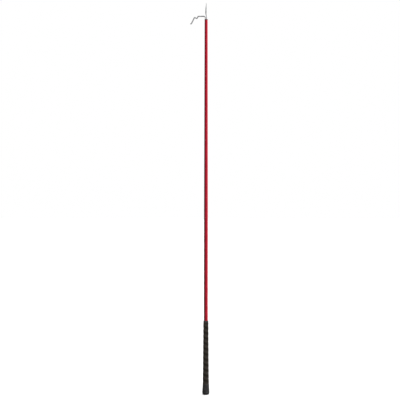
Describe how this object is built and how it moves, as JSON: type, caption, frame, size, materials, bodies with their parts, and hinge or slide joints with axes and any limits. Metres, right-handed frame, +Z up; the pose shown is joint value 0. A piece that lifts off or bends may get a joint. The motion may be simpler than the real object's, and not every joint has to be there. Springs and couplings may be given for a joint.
{
  "type": "livestock show stick",
  "caption": "Long tapered metal stick with a wrapped golf-type grip, and a bent hook rod and a straight rod at its tip.",
  "frame": {"origin": "centre of the butt cap's flat base", "axes": "+Z up the stick from the butt cap to the straight rod's point; the hook reaches towards -X, in the XZ plane"},
  "size_m": [0.0757, 0.0278, 1.524],
  "materials": {
    "shaft_red": "glossy metallic red over aluminium",
    "rod_chrome": "bright chrome plate on steel wire",
    "bushing_black": "moulded black plastic",
    "tape_cream": "double-sided paper tape",
    "sleeve_rubber": "matt black rubber",
    "wrap_black": "grained black-brown wrap strip",
    "collar_rubber": "satin black rubber",
    "cap_rubber": "smooth satin black rubber"
  },
  "bodies": {
    "root": {"shaft_tube": "shaft_red", "hook_rod": "rod_chrome", "point_rod": "rod_chrome", "tip_bushing": "bushing_black", "grip_tape": "tape_cream", "grip_sleeve": "sleeve_rubber", "grip_wrap": "wrap_black", "grip_collar": "collar_rubber", "butt_cap": "cap_rubber"}
  },
  "joints": []
}
